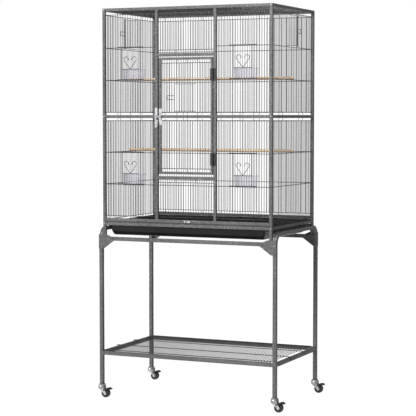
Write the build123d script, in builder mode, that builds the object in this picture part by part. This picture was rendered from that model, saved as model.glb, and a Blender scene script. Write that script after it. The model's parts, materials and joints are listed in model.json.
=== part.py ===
"""Flight cage for small birds on a rolling stand.

Millimetres. X runs to the right, Y to the back, Z up from the floor.
Every piece is drawn about the middle of the cage; save() then shifts it, because the
casters trail to the right and the origin is the middle of the whole footprint.
Wires are drawn as square bars with the section area of the round wire.
"""
from build123d import *
from math import asin, atan2, cos, degrees, hypot, sin, sqrt
import os

# ---- Driving dimensions -------------------------------------------------------------
CAGE_W = 776.0            # over the corner posts
CAGE_D = 490.0
CAGE_TOP = 1662.0
TUBE = 12.7               # half-inch square tube of the cage
TUBE_WALL = 1.0
CORNER_R = 1.2            # rounded edges of all square tube
MID_POST_X = 133.5        # centre line of the two posts beside the door
MID_BAR_Z = 1206.0
RAIL_1_Z = 768.35         # lower rail of the front and back
RAIL_2_Z = 750.35         # lowest rail, on all four sides

PITCH = 11.6              # wire to wire
WIRE = 1.8                # uprights
CROSS = 2.4               # cross wires
UPPER_ROWS = (1224.0, 1359.0, 1495.0, 1634.0)
LOWER_ROWS = (785.0, 919.0, 1054.0, 1188.0)
SIDE_LOWEST_ROW = 768.0
WELD_OVERHANG = 2.0       # an upright ends this far past its last cross wire

DOOR_LEFT, DOOR_RIGHT = -122.0, 124.0
DOOR_BOTTOM, DOOR_TOP = 966.0, 1451.0
DOOR_TUBE = 10.0
HEADER_Z, SILL_Z = 1462.35, 950.65
DOOR_EDGE_ROW = 13.0      # first door wire from the door's top and bottom bar

FEEDER_GAPS = 5           # its guide wires stand this many pitches from its middle
DOOR_WIRE = 2.2           # wire of the feeder doors and the nest doors
SLIP = 0.4                # room between a moving wire and the wall it moves on
RING_BORE, RING_OUTER = 1.7, 3.6

LEG = 16.0                # square tube of the stand
LEG_WALL = 1.2
LEG_X = 399.4             # centre line of the legs
LEG_Y = 237.5
LEG_FOOT = 57.0
LEG_TOP = 728.0
LEG_BEND = 42.0
CROSS_BAR_Z = 686.0
SHELF_Z = 193.0

WHEEL_R = 19.0
WHEEL_W = 16.0
TRAIL = 18.0              # the wheels trail to the right of the swivel axis

PERCH_R = 6.75

# ---- Derived places -----------------------------------------------------------------
POST_X = (CAGE_W - TUBE) / 2
POST_Y = (CAGE_D - TUBE) / 2
INSIDE_X = CAGE_W / 2 - TUBE
INSIDE_Y = CAGE_D / 2 - TUBE
TOP_RAIL_Z = CAGE_TOP - TUBE / 2
POST_FOOT = RAIL_2_Z - TUBE / 2
CAP = 1.5
LEG_OUT = LEG_X + LEG / 2
HOOK = 3.0                # wire of the shelf grille's end hooks
DOME_R = 17.0             # swivelling dome of a caster
PEDAL_TIP = 43.0          # reach of the brake pedal from the swivel axis
SHIFT_X = -(PEDAL_TIP - DOME_R) / 2     # middle of the footprint, which the pedals set
CORNERS = [(x, y) for x in (-1, 1) for y in (-1, 1)]

FACE_IN = TUBE / 2 + WIRE / 2 - CROSS / 2 - 0.15   # from the cage's skin to a wall's face
FRONT = Plane((0, FACE_IN - CAGE_D / 2, 0), x_dir=(1, 0, 0), z_dir=(0, -1, 0))
BACK = Plane((0, CAGE_D / 2 - FACE_IN, 0), x_dir=(-1, 0, 0), z_dir=(0, 1, 0))
RIGHT = Plane((CAGE_W / 2 - FACE_IN, 0, 0), x_dir=(0, 1, 0), z_dir=(1, 0, 0))
LEFT = Plane((FACE_IN - CAGE_W / 2, 0, 0), x_dir=(0, -1, 0), z_dir=(-1, 0, 0))

os.makedirs("parts", exist_ok=True)


def save(name, *pieces):
    """Write one node: all the solids of its pieces, moved into the part's frame."""
    solids = [solid for piece in pieces for solid in piece.solids()]
    node = Compound(solids).moved(Location((SHIFT_X, 0, 0)))
    node.label = name
    export_step(node, f"parts/{name}.step")


def evenly(low, high, gap=PITCH):
    """Places between low and high that split the span into equal gaps near `gap`."""
    count = round((high - low) / gap)
    return [low + (high - low) * i / count for i in range(1, count)]


def bar(start, end, side=TUBE, wall=TUBE_WALL, holes=(), hole_axis=Axis.Y):
    """Square tube between two points on its centre line, with cross holes at `holes`."""
    run = Vector(*end) - Vector(*start)
    across = (0, 1, 0) if abs(run.X) > 1 else (1, 0, 0)
    with BuildPart() as tube:
        with BuildSketch(Plane(start, x_dir=across, z_dir=run.normalized())):
            RectangleRounded(side, side, CORNER_R)
            Rectangle(side - 2 * wall, side - 2 * wall, mode=Mode.SUBTRACT)
        extrude(amount=run.length)
        for place in holes:
            with BuildSketch(Plane(place, z_dir=hole_axis.direction)):
                Circle(SCREW_R + 0.1)
            extrude(amount=side, both=True, mode=Mode.SUBTRACT)
    return tube.part


def wire_wall(face, spans, rows, ends):
    """Welded wire wall: uprights in front of the face, cross wires behind it.

    spans is a list of (places along the wall, low end, high end).
    """
    with BuildPart() as wall:
        with BuildSketch(face):
            for places, low, high in spans:
                with Locations(*[(u, (low + high) / 2) for u in places]):
                    Rectangle(WIRE, high - low)
        extrude(amount=WIRE)
        with BuildSketch(face):
            with Locations(*[((ends[0] + ends[1]) / 2, v) for v in rows]):
                Rectangle(ends[1] - ends[0], CROSS)
        extrude(amount=-CROSS)
    return wall.part


def upright_spans(places, long_places, rows, long_low, long_high, window=None):
    """Spans for wire_wall. A window is (left, right, low row, high row) with no uprights."""
    low, high = rows[0] - WELD_OVERHANG, rows[-1] + WELD_OVERHANG
    spans = []
    cut = [u for u in places if window and window[0] < u < window[1]]
    whole = [u for u in places if u not in cut]
    for group, a, b in (
        ([u for u in whole if u not in long_places], low, high),
        ([u for u in whole if u in long_places], long_low, long_high),
    ):
        if group:
            spans.append((group, a, b))
    if not cut:
        return spans
    for group, a, b in (
        ([u for u in cut if u not in long_places], low, high),
        ([u for u in cut if u in long_places], long_low, long_high),
    ):
        if group and window[2] > a + 2 * WELD_OVERHANG:
            spans.append((group, a, window[2] + WELD_OVERHANG))
        if group and window[3] < b - 2 * WELD_OVERHANG:
            spans.append((group, window[3] - WELD_OVERHANG, b))
    return spans


# ---- Cage frames --------------------------------------------------------------------
SCREW_R = 1.6
SCREW_ROWS = (TOP_RAIL_Z, MID_BAR_Z, RAIL_2_Z)


def corner_post(x, y):
    return bar(
        (x, y, POST_FOOT), (x, y, CAGE_TOP - CAP), holes=[(x, y, z) for z in SCREW_ROWS]
    )


def long_rail(y, z, reach=INSIDE_X):
    return bar((-reach, y, z), (reach, y, z))


def front_frame():
    y = -POST_Y
    pieces = [corner_post(-POST_X, y), corner_post(POST_X, y)]
    for side in (-1, 1):
        x = side * MID_POST_X
        pieces.append(bar((x, y, RAIL_1_Z + TUBE / 2), (x, y, TOP_RAIL_Z - TUBE / 2)))
        inner, outer = side * (MID_POST_X + TUBE / 2), side * INSIDE_X
        pieces.append(bar((inner, y, MID_BAR_Z), (outer, y, MID_BAR_Z)))
    pieces.append(long_rail(y, TOP_RAIL_Z))
    button_hole = [(0, -CAGE_D / 2, RAIL_1_Z)]
    pieces.append(bar((-INSIDE_X, y, RAIL_1_Z), (INSIDE_X, y, RAIL_1_Z), holes=button_hole))
    for z in (HEADER_Z, SILL_Z):
        pieces.append(long_rail(y, z, MID_POST_X - TUBE / 2))
    save("front_frame", *pieces)


def back_frame():
    rails = [long_rail(POST_Y, z) for z in (TOP_RAIL_Z, MID_BAR_Z, RAIL_1_Z)]
    save("back_frame", corner_post(-POST_X, POST_Y), corner_post(POST_X, POST_Y), *rails)


def side_frame(name, x):
    save(name, *[bar((x, -INSIDE_Y, z), (x, INSIDE_Y, z)) for z in SCREW_ROWS])


def post_caps():
    """Moulded plugs that close the open tops of the corner posts."""
    with BuildPart() as caps:
        for sx, sy in CORNERS:
            with BuildSketch(Plane((sx * POST_X, sy * POST_Y, CAGE_TOP - CAP))):
                RectangleRounded(TUBE, TUBE, CORNER_R)
            extrude(amount=CAP)
            with BuildSketch(Plane((sx * POST_X, sy * POST_Y, CAGE_TOP - CAP))):
                Rectangle(TUBE - 2 * TUBE_WALL - 0.2, TUBE - 2 * TUBE_WALL - 0.2)
            extrude(amount=-2.8)
    save("post_caps", caps.part)


# ---- Wire walls ---------------------------------------------------------------------
SECTION_INNER = MID_POST_X + TUBE / 2
SIDE_PLACES = evenly(-INSIDE_Y, INSIDE_Y)
BACK_PLACES = evenly(-INSIDE_X, INSIDE_X)
FEEDER_ROWS = {"upper": UPPER_ROWS[1:3], "lower": LOWER_ROWS[1:3]}
NEST_ROWS = UPPER_ROWS[2:4]
BACK_NEST_ROWS = UPPER_ROWS[0:2]
MID_LOW, MID_HIGH = MID_BAR_Z - TUBE / 2, MID_BAR_Z + TUBE / 2


def front_section(name, left, right):
    """Upper and lower wire wall beside the door, each with a window for a feeder door."""
    places = evenly(left, right)
    middle = len(places) // 2
    stubs = [places[middle + step] for step in (-4, 0, 4)]
    edges = (places[middle - 4] + 1, places[middle + 4] - 1)
    upper = upright_spans(
        places, stubs, UPPER_ROWS, MID_HIGH, TOP_RAIL_Z - TUBE / 2,
        window=(*edges, *FEEDER_ROWS["upper"]),
    )
    lower = upright_spans(
        places, stubs, LOWER_ROWS, RAIL_1_Z + TUBE / 2, MID_LOW,
        window=(*edges, *FEEDER_ROWS["lower"]),
    )
    save(
        name,
        wire_wall(FRONT, upper, UPPER_ROWS, (left, right)),
        wire_wall(FRONT, lower, LOWER_ROWS, (left, right)),
    )


def centre_section():
    """The two short wire walls above and below the door."""
    reach = MID_POST_X - TUBE / 2
    places = evenly(-reach, reach)
    middle = len(places) // 2
    stubs = [places[middle + step] for step in (-4, 0, 4)]
    top_rows = (HEADER_Z + TUBE / 2 + DOOR_EDGE_ROW, UPPER_ROWS[-1])
    low_rows = (*LOWER_ROWS[:2], SILL_Z - TUBE / 2 - DOOR_EDGE_ROW)
    top = upright_spans(places, stubs, top_rows, HEADER_Z + TUBE / 2, TOP_RAIL_Z - TUBE / 2)
    low = upright_spans(places, stubs, low_rows, RAIL_1_Z + TUBE / 2, SILL_Z - TUBE / 2)
    save(
        "centre_grille",
        wire_wall(FRONT, top, top_rows, (-reach, reach)),
        wire_wall(FRONT, low, low_rows, (-reach, reach)),
    )


def nest_window(places, hinge, rows):
    """Window behind a nest door whose hinge wire is places[hinge]."""
    return (places[hinge] + 1, places[hinge + NEST_GAPS] - 1, *rows)


NEST_GAPS = 9
SIDE_HINGE = len(SIDE_PLACES) // 2 - 5
BACK_HINGE = len(BACK_PLACES) // 2 + 15


def full_wall(name, face, places, stub_count, lowest_rows, long_low, hinge, nest_rows):
    """Upper and lower wire wall of the back or a side, with a nest door's window."""
    reach = places[-1] + (places[-1] - places[-2])
    step = len(places) / stub_count
    stubs = [places[int(step * (i + 0.5))] for i in range(stub_count)]
    upper = upright_spans(
        places, stubs, UPPER_ROWS, MID_HIGH, TOP_RAIL_Z - TUBE / 2,
        window=nest_window(places, hinge, nest_rows),
    )
    lower = upright_spans(places, stubs, lowest_rows, long_low, MID_LOW)
    save(
        name,
        wire_wall(face, upper, UPPER_ROWS, (-reach, reach)),
        wire_wall(face, lower, lowest_rows, (-reach, reach)),
    )


def roof_grille():
    """Front-to-back wires over three cross wires, level with the middle of the top rails."""
    deck = Plane((0, 0, TOP_RAIL_Z), x_dir=(1, 0, 0), z_dir=(0, 0, 1))
    rows = (-INSIDE_Y + PITCH, 0, INSIDE_Y - PITCH)
    wall = wire_wall(deck, [(BACK_PLACES, -INSIDE_Y, INSIDE_Y)], rows, (-INSIDE_X, INSIDE_X))
    save("roof_grille", wall)


# ---- Centre door --------------------------------------------------------------------
DOOR_Y = -CAGE_D / 2 + DOOR_TUBE / 2
STILE = DOOR_TUBE / 2


def door_frame():
    left, right = DOOR_LEFT + STILE, DOOR_RIGHT - STILE
    pieces = [bar((x, DOOR_Y, DOOR_BOTTOM), (x, DOOR_Y, DOOR_TOP), DOOR_TUBE) for x in (left, right)]
    for z in (DOOR_BOTTOM + STILE, MID_BAR_Z, DOOR_TOP - STILE):
        pieces.append(bar((left + STILE, DOOR_Y, z), (right - STILE, DOOR_Y, z), DOOR_TUBE))
    save("door_frame", *pieces)


def door_grille():
    left, right = DOOR_LEFT + DOOR_TUBE, DOOR_RIGHT - DOOR_TUBE
    places = evenly(left, right)
    middle = len(places) // 2
    stubs = [places[middle + step] for step in (-4, 0, 4)]
    under, over = MID_BAR_Z - STILE, MID_BAR_Z + STILE
    top, bottom = DOOR_TOP - DOOR_TUBE, DOOR_BOTTOM + DOOR_TUBE
    upper_rows = (*UPPER_ROWS[:2], top - DOOR_EDGE_ROW)
    lower_rows = (bottom + DOOR_EDGE_ROW, *LOWER_ROWS[2:])
    upper = upright_spans(places, stubs, upper_rows, over, top)
    lower = upright_spans(places, stubs, lower_rows, bottom, under)
    save(
        "door_grille",
        wire_wall(FRONT, upper, upper_rows, (left, right)),
        wire_wall(FRONT, lower, lower_rows, (left, right)),
    )


# ---- Door hinges: pin axis just in front of the gap beside the door -----------------
HINGE_X = (DOOR_RIGHT + MID_POST_X - TUBE / 2) / 2
HINGE_Y = -CAGE_D / 2 - 3.2
HINGE_ZS = (1030.0, 1378.5)
HINGE_H = 50.0
LEAF = 1.2
KNUCKLE_R = 3.0
PIN_R = 1.25
KNUCKLE_GAP = 0.3


def hinge_leaf(centre_z, side, knuckles):
    """One leaf on the front of its post or stile, with knuckles at the given height bands."""
    reach, clear = 12.5, KNUCKLE_R + 0.5
    with BuildPart() as leaf:
        with BuildSketch(Plane.XZ.offset(CAGE_D / 2)):
            with Locations((HINGE_X + side * (clear + reach) / 2, centre_z)):
                Rectangle(reach - clear, HINGE_H)
        extrude(amount=LEAF)
        for low, high in knuckles:
            middle, tall = centre_z + (low + high) / 2, high - low
            with BuildSketch(Plane.XY.offset(middle - tall / 2)):
                with Locations((HINGE_X + side * (clear + 0.5) / 2, -CAGE_D / 2 - LEAF / 2)):
                    Rectangle(clear + 0.5, LEAF)
                with Locations((HINGE_X, HINGE_Y)):
                    Circle(KNUCKLE_R)
            extrude(amount=tall)
        with BuildSketch(Plane.XY.offset(centre_z - HINGE_H)):
            with Locations((HINGE_X, HINGE_Y)):
                Circle(PIN_R + 0.05)
        extrude(amount=2 * HINGE_H, mode=Mode.SUBTRACT)
    return leaf.part


def hinge_pin(centre_z):
    half = HINGE_H / 2
    with BuildPart() as pin:
        with BuildSketch(Plane.XY.offset(centre_z - half)):
            with Locations((HINGE_X, HINGE_Y)):
                Circle(PIN_R)
        extrude(amount=HINGE_H)
        for low in (centre_z - half - 1.5, centre_z + half):
            with BuildSketch(Plane.XY.offset(low)):
                with Locations((HINGE_X, HINGE_Y)):
                    Circle(KNUCKLE_R - 0.4)
            extrude(amount=1.5)
    return pin.part


def hinges():
    third = HINGE_H / 3
    half_gap = KNUCKLE_GAP / 2
    middle = [(-third / 2 + half_gap, third / 2 - half_gap)]
    ends = [(-HINGE_H / 2, -third / 2 - half_gap), (third / 2 + half_gap, HINGE_H / 2)]
    save("hinge_post_leaves", *[hinge_leaf(z, 1, ends) for z in HINGE_ZS])
    save("hinge_door_leaves", *[hinge_leaf(z, -1, middle) for z in HINGE_ZS])
    save("hinge_pins", *[hinge_pin(z) for z in HINGE_ZS])


# ---- Door latch: lever on the door drops into a keeper on the post ------------------
LATCH_X, LATCH_Z = -113.5, 1208.0
KEEPER_X = -MID_POST_X
PLATE = 2.0
LEVER_BACK, LEVER_FRONT = 2.4, 6.0      # depths in front of the cage's skin
LATCH_PIVOT_R = 2.5


def skin(depth=0.0):
    """XZ plane looking along +Y, this far in front of the cage's skin."""
    return Plane((0, -CAGE_D / 2 - depth, 0), x_dir=(1, 0, 0), z_dir=(0, -1, 0))


def latch_keeper():
    """Cast plate on the post: its slot is open upwards, so the lever drops in."""
    floor_z, sill, lip = 1197.0, 4.0, 11.0
    with BuildPart() as keeper:
        with BuildSketch(skin()):
            with Locations((KEEPER_X, 1202)):
                SlotOverall(84, TUBE - 0.5, rotation=90)
        extrude(amount=PLATE)
        with BuildSketch(skin(PLATE)):
            with Locations((KEEPER_X, floor_z + sill / 2 - 1)):
                Rectangle(10, sill)
        extrude(amount=6.5)
        with BuildSketch(skin(PLATE + 4.5)):
            with Locations((KEEPER_X, floor_z - 1 + lip / 2)):
                Rectangle(10, lip)
        extrude(amount=PLATE)
        fillet(keeper.faces().sort_by(Axis.Y)[0].edges().filter_by(Axis.Z), 1.5)
    save("latch_keeper", keeper.part)


def latch_plate():
    """Plate on the door stile, with the headed stud that the lever turns on."""
    with BuildPart() as plate:
        with BuildSketch(skin()):
            with Locations((LATCH_X, 1205)):
                RectangleRounded(14, 70, 5)
        extrude(amount=PLATE)
        with BuildSketch(skin(PLATE)):
            with Locations((LATCH_X, LATCH_Z)):
                Circle(LATCH_PIVOT_R)
        extrude(amount=LEVER_FRONT - PLATE + 0.4)
        with BuildSketch(skin(LEVER_FRONT + 0.4)):
            with Locations((LATCH_X, LATCH_Z)):
                Circle(5)
        extrude(amount=2)
        fillet(plate.faces().sort_by(Axis.Y)[0].edges(), 1.2)
    save("latch_plate", plate.part)


def latch_lever():
    """Lever with a nose to the left and a short thumb tail below the stud."""
    nose, tail = 26.0, 13.0
    with BuildPart() as lever:
        with BuildSketch(skin(LEVER_BACK)):
            with Locations((LATCH_X, LATCH_Z)):
                Circle(6.5)
            with Locations((LATCH_X - nose / 2, LATCH_Z - 2)):
                RectangleRounded(nose, 9, 3)
            with Locations((LATCH_X, LATCH_Z - tail / 2)):
                RectangleRounded(9, tail, 3)
            with Locations((LATCH_X, LATCH_Z)):
                Circle(LATCH_PIVOT_R + 0.06, mode=Mode.SUBTRACT)
        extrude(amount=LEVER_FRONT - LEVER_BACK)
    save("latch_lever", lever.part)


# ---- Feeder doors and cups ----------------------------------------------------------
SECTION_MIDDLE = (SECTION_INNER + INSIDE_X) / 2
GUIDE = FEEDER_GAPS * (INSIDE_X - SECTION_INNER) / (len(evenly(SECTION_INNER, INSIDE_X)) + 1)
FEEDER_HALF = 39.0
CUP_TOP = 45.0            # above the cross wire that the cup hangs on
HEART_R = 10.5
HEART_CENTRE = (18.5, 41.5)


def door_bars(plane, bars, loops, loop_axis_depth):
    """Flat wire door: bars as (u, v, width, height), and round loops (u, v) on wall wires."""
    with BuildPart() as door:
        with BuildSketch(plane):
            for u, v, wide, tall in bars:
                with Locations((u, v)):
                    Rectangle(wide, tall)
        extrude(amount=DOOR_WIRE)
        for u, v in loops:
            origin = plane.from_local_coords((u, v - 1.5, loop_axis_depth))
            with BuildSketch(Plane(origin, x_dir=plane.x_dir, z_dir=(0, 0, 1))):
                Circle(RING_OUTER)
            extrude(amount=3)
            with BuildSketch(Plane(origin, x_dir=plane.x_dir, z_dir=(0, 0, 1))):
                Circle(RING_BORE)
            extrude(amount=3, mode=Mode.SUBTRACT)
    return door.part


def heart(plane, u, v):
    """Wire heart with its lobes curled inwards and its tip at (u, v)."""
    distance = hypot(*HEART_CENTRE)
    lean = atan2(HEART_CENTRE[1], HEART_CENTRE[0]) - asin(HEART_R / distance)
    flank = sqrt(distance**2 - HEART_R**2)
    start = degrees(lean) - 90
    with BuildPart() as wire:
        with BuildSketch(plane):
            with Locations((u, v)):
                with BuildSketch(mode=Mode.PRIVATE) as outline:
                    with BuildLine():
                        Line((0, 0), (flank * cos(lean), flank * sin(lean)))
                        CenterArc(HEART_CENTRE, HEART_R, start, 237)
                    trace(line_width=DOOR_WIRE)
                    mirror(about=Plane.YZ)
                add(outline.sketch)
        extrude(amount=DOOR_WIRE)
    return wire.part


def feeder_door(name, middle, rows):
    """Sliding wire door: its loops ride on two wall wires, above the rows it rests on."""
    plane = FRONT.offset(WIRE + SLIP)
    lift = (CROSS + DOOR_WIRE) / 2 + 0.5
    low, high = rows[0] + lift, rows[1] + lift
    rim = rows[0] + CUP_TOP + 1
    between = 2 * GUIDE - 2 * (RING_BORE + 0.1)
    bars = [(middle, z, between, DOOR_WIRE) for z in (low, high)]
    for side in (-1, 1):
        bars.append((middle + side * FEEDER_HALF, (low + high) / 2, DOOR_WIRE, high - low))
    bars.append((middle, rim, 2 * FEEDER_HALF, DOOR_WIRE))
    for u in evenly(middle - FEEDER_HALF, middle + FEEDER_HALF):
        bars.append((u, (low + rim) / 2, WIRE, rim - low))
    loops = [(middle + side * GUIDE, z) for side in (-1, 1) for z in (low, high)]
    frame = door_bars(plane, bars, loops, -SLIP - WIRE / 2)
    with BuildPart() as door:
        add(frame)
        add(heart(plane, middle, rim))
    save(name, door.part)


def feed_cup(name, middle, row):
    """Open tub that hangs by two lugs on the cross wire under the feeder door."""
    wide, deep, wall = 92.0, 58.0, 2.0
    front = -CAGE_D / 2 + FACE_IN + CROSS + 1
    low, high = row - 6, row + CUP_TOP
    with BuildPart() as cup:
        with BuildSketch(Plane((middle, front + deep / 2, low))):
            RectangleRounded(wide, deep, 12)
        extrude(amount=high - low)
        with BuildSketch(Plane((middle, front + deep / 2, low + wall))):
            RectangleRounded(wide - 2 * wall, deep - 2 * wall, 10)
        extrude(amount=high - low, mode=Mode.SUBTRACT)
        with BuildSketch(Plane((middle, front - 0.4, row + CROSS / 2))):
            with Locations((-26, 0), (26, 0)):
                Rectangle(9, 4)
        extrude(amount=4)
    save(name, cup.part)


# ---- Nest doors ---------------------------------------------------------------------
def nest_door(name, face, places, hinge, rows):
    """Small wire door on a wall wire, with a bent wire hook beside its free edge."""
    plane = face.offset(WIRE + SLIP)
    start, stop = places[hinge], places[hinge + NEST_GAPS]
    low, high = rows[0] + 6, rows[1] - 6
    left, right = start + RING_BORE + 0.1, stop + DOOR_WIRE / 2
    bars = [((left + right) / 2, z, right - left, DOOR_WIRE) for z in (low, high)]
    for u in places[hinge + 1 : hinge + NEST_GAPS]:
        bars.append((u, (low + high) / 2, WIRE, high - low))
    bars.append((stop, (low + high) / 2, DOOR_WIRE, high - low))
    middle = (rows[0] + rows[1]) / 2
    arm, half = 38.0, 8.5
    bars += [(stop + arm / 2, middle + side * half, arm, DOOR_WIRE) for side in (-1, 1)]
    bars.append((stop + arm, middle, DOOR_WIRE, 2 * half + DOOR_WIRE))
    loops = [(start, z) for z in (low, high)]
    save(name, door_bars(plane, bars, loops, -SLIP - WIRE / 2))


# ---- Perches ------------------------------------------------------------------------
def perch(name, row):
    """Dowel on two cross wires, each end slotted over the middle wire of the wall."""
    z = row + CROSS / 2 + PERCH_R
    half = CAGE_W / 2 - 3
    slot_floor = CAGE_W / 2 - FACE_IN - 1.5
    with BuildPart() as dowel:
        with BuildSketch(Plane((-half, 0, z), z_dir=(1, 0, 0))):
            Circle(PERCH_R)
        extrude(amount=2 * half)
        chamfer(dowel.edges().filter_by(GeomType.CIRCLE), 0.8)
        for side in (-1, 1):
            with BuildSketch(Plane((side * (slot_floor + 10), 0, z))):
                Rectangle(20, WIRE + 0.8)
            extrude(amount=PERCH_R + 1, both=True, mode=Mode.SUBTRACT)
    save(name, dowel.part)


# ---- Base: rails, runners, floor grille, tray and turn button -----------------------
GRILLE_LEDGE_Z = RAIL_2_Z + TUBE / 2 + 0.3
TRAY_LIP_Z = 739.0
CROSS_BAR_TOP = CROSS_BAR_Z + LEG / 2
RUNNER = 1.5


def base_rails():
    pieces = [long_rail(side * POST_Y, RAIL_2_Z) for side in (-1, 1)]
    for sx, sy in CORNERS:
        x, y = sx * POST_X, sy * POST_Y
        pieces.append(bar((x, y, CROSS_BAR_TOP), (x, y, POST_FOOT)))
    save("base_rails", *pieces)


def angle_strip(side, inner, top, drop, reach):
    """Moulded angle along Y: a flat ledge with its other leg against the rail or stubs."""
    wide = INSIDE_X - inner
    with BuildPart() as strip:
        with BuildSketch(Plane((0, -reach, 0), x_dir=(side, 0, 0), z_dir=(0, -side, 0))):
            with Locations((inner + wide / 2, top - RUNNER / 2)):
                Rectangle(wide, RUNNER)
            with Locations((INSIDE_X - RUNNER / 2, top - drop / 2)):
                Rectangle(RUNNER, drop)
        extrude(amount=-side * 2 * reach)
    return strip.part


def slide_runners():
    strips = []
    for side in (-1, 1):
        strips.append(angle_strip(side, 365.0, GRILLE_LEDGE_Z, 12.0, INSIDE_Y))
        strips.append(angle_strip(side, 356.0, TRAY_LIP_Z, 14.0, CAGE_D / 2))
    save("slide_runners", *strips)


def floor_grille():
    """Slide-out floor: a flat frame with front-to-back wires, in the slot between the rails."""
    half_x, half_y, rim = 373.0, CAGE_D / 2 - 1.5, 4.0
    low = GRILLE_LEDGE_Z
    deck = Plane((0, 0, low + CROSS + 0.1), x_dir=(1, 0, 0), z_dir=(0, 0, 1))
    places = evenly(-half_x + rim, half_x - rim)
    rows = (-half_y / 3, half_y / 3)
    wires = wire_wall(
        deck, [(places, rim - half_y, half_y - rim)], rows, (rim - half_x, half_x - rim)
    )
    with BuildPart() as grille:
        with BuildSketch(Plane((0, 0, low))):
            Rectangle(2 * half_x, 2 * half_y)
            Rectangle(2 * (half_x - rim), 2 * (half_y - rim), mode=Mode.SUBTRACT)
        extrude(amount=rim)
        add(wires)
    save("floor_grille", grille.part)


def slab(low, high):
    """Upright block between two corners."""
    size = [b - a for a, b in zip(low, high)]
    return Pos(*[(a + b) / 2 for a, b in zip(low, high)]) * Box(*size)


def tray():
    """Moulded tray: sloped lower walls, an upright band above them and a lip on each side.

    Each wall is a convex block of its own, so that the hollow stays open to collision.
    """
    wall, floor_z, band_z, top_z = 2.0, 703.0, 722.0, 741.0
    foot_x, foot_y, half_x, half_y, lip_x = 346.0, 227.0, 352.0, 240.0, 366.0
    with BuildPart() as lower:
        with BuildSketch(Plane.XY.offset(floor_z)):
            Rectangle(2 * foot_x, 2 * foot_y)
        with BuildSketch(Plane.XY.offset(band_z)):
            Rectangle(2 * half_x, 2 * half_y)
        loft()
    inner_z = floor_z + wall
    rise = band_z - inner_z
    cuts = [Plane((0, 0, inner_z), z_dir=(0, 0, -1))]
    for side in (-1, 1):
        lean = Vector(0, side * rise, foot_y - half_y)
        cuts.append(Plane((0, side * (foot_y - wall), inner_z), x_dir=(1, 0, 0), z_dir=lean))
    for side in (-1, 1):
        lean = Vector(side * rise, 0, foot_x - half_x)
        cuts.append(Plane((side * (foot_x - wall), 0, inner_z), x_dir=(0, 1, 0), z_dir=lean))
    rest, pieces = lower.part, []
    for cut in cuts:
        pieces.append(split(rest, bisect_by=cut, keep=Keep.TOP))
        rest = split(rest, bisect_by=cut, keep=Keep.BOTTOM)
    for side in (-1, 1):
        near, far = sorted((side * (half_y - wall), side * half_y))
        pieces.append(slab((-half_x, near, band_z), (half_x, far, top_z)))
        near, far = sorted((side * (half_x - wall), side * half_x))
        pieces.append(slab((near, wall - half_y, band_z), (far, half_y - wall, top_z)))
        near, far = sorted((side * half_x, side * lip_x))
        pieces.append(slab((near, -half_y, TRAY_LIP_Z), (far, half_y, top_z)))
    save("tray", *pieces)


def tray_button():
    """Turn button on the lower rail: a tab, a round knob and a shank through the rail's wall."""
    gap = 0.3
    with BuildPart() as button:
        with BuildSketch(skin(gap)):
            with Locations((9, RAIL_1_Z)):
                SlotOverall(27, 9)
        extrude(amount=1.5)
        with BuildSketch(skin(gap + 1.5)):
            with Locations((0, RAIL_1_Z)):
                Circle(4.5)
        extrude(amount=4.5)
        fillet(button.faces().sort_by(Axis.Y)[0].edges(), 1.5)
        with BuildSketch(skin(gap)):
            with Locations((0, RAIL_1_Z)):
                Circle(SCREW_R)
        extrude(amount=-5)
    save("tray_button", button.part)


# ---- Stand --------------------------------------------------------------------------
def leg_frame(name, side):
    """One bent tube: front leg, side rail and back leg, with bolt holes for the cross bars."""
    x = side * LEG_X
    with BuildPart() as frame:
        with BuildLine() as path:
            FilletPolyline(
                (x, -LEG_Y, LEG_FOOT), (x, -LEG_Y, LEG_TOP), (x, LEG_Y, LEG_TOP), (x, LEG_Y, LEG_FOOT),
                radius=LEG_BEND,
            )
        with BuildSketch(Plane((x, -LEG_Y, LEG_FOOT))):
            RectangleRounded(LEG, LEG, CORNER_R)
            Rectangle(LEG - 2 * LEG_WALL, LEG - 2 * LEG_WALL, mode=Mode.SUBTRACT)
        sweep(path=path.wires()[0])
        for y in (-LEG_Y, LEG_Y):
            for z in (CROSS_BAR_Z, SHELF_Z):
                with BuildSketch(Plane((x, y, z), z_dir=(1, 0, 0))):
                    Circle(SCREW_R + 0.1)
                extrude(amount=LEG, both=True, mode=Mode.SUBTRACT)
    save(name, frame.part)


def stand_bar(y, z):
    inner = LEG_X - LEG / 2
    return bar((-inner, y, z), (inner, y, z), LEG, LEG_WALL)


def cross_bars():
    save("front_cross_bar", stand_bar(-LEG_Y, CROSS_BAR_Z))
    save("back_cross_bar", stand_bar(LEG_Y, CROSS_BAR_Z))


def gusset_plates():
    """Six-sided plates over the joints of legs and cross bars."""
    thick = 3.0
    outline = [
        (LEG_OUT, 643), (LEG_OUT, 704), (LEG_OUT - 39, 704),
        (LEG_OUT - 61, CROSS_BAR_TOP), (LEG_OUT - 75, 680), (LEG_OUT - 23, 643),
    ]
    with BuildPart() as plates:
        for sx, sy in CORNERS:
            out = Plane((0, sy * (LEG_Y + LEG / 2), 0), x_dir=(1, 0, 0), z_dir=(0, -1, 0))
            with BuildSketch(out):
                with BuildLine():
                    Polyline(*[(sx * x, z) for x, z in outline], close=True)
                make_face()
            extrude(amount=-sy * thick)
    save("gusset_plates", plates.part)


def shelf_frame():
    inner = LEG_Y - LEG / 2
    bars = [stand_bar(side * LEG_Y, SHELF_Z) for side in (-1, 1)]
    for side in (-1, 1):
        x = side * LEG_X
        bars.append(bar((x, -inner, SHELF_Z), (x, inner, SHELF_Z), LEG, LEG_WALL))
    save("shelf_frame", *bars)


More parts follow.
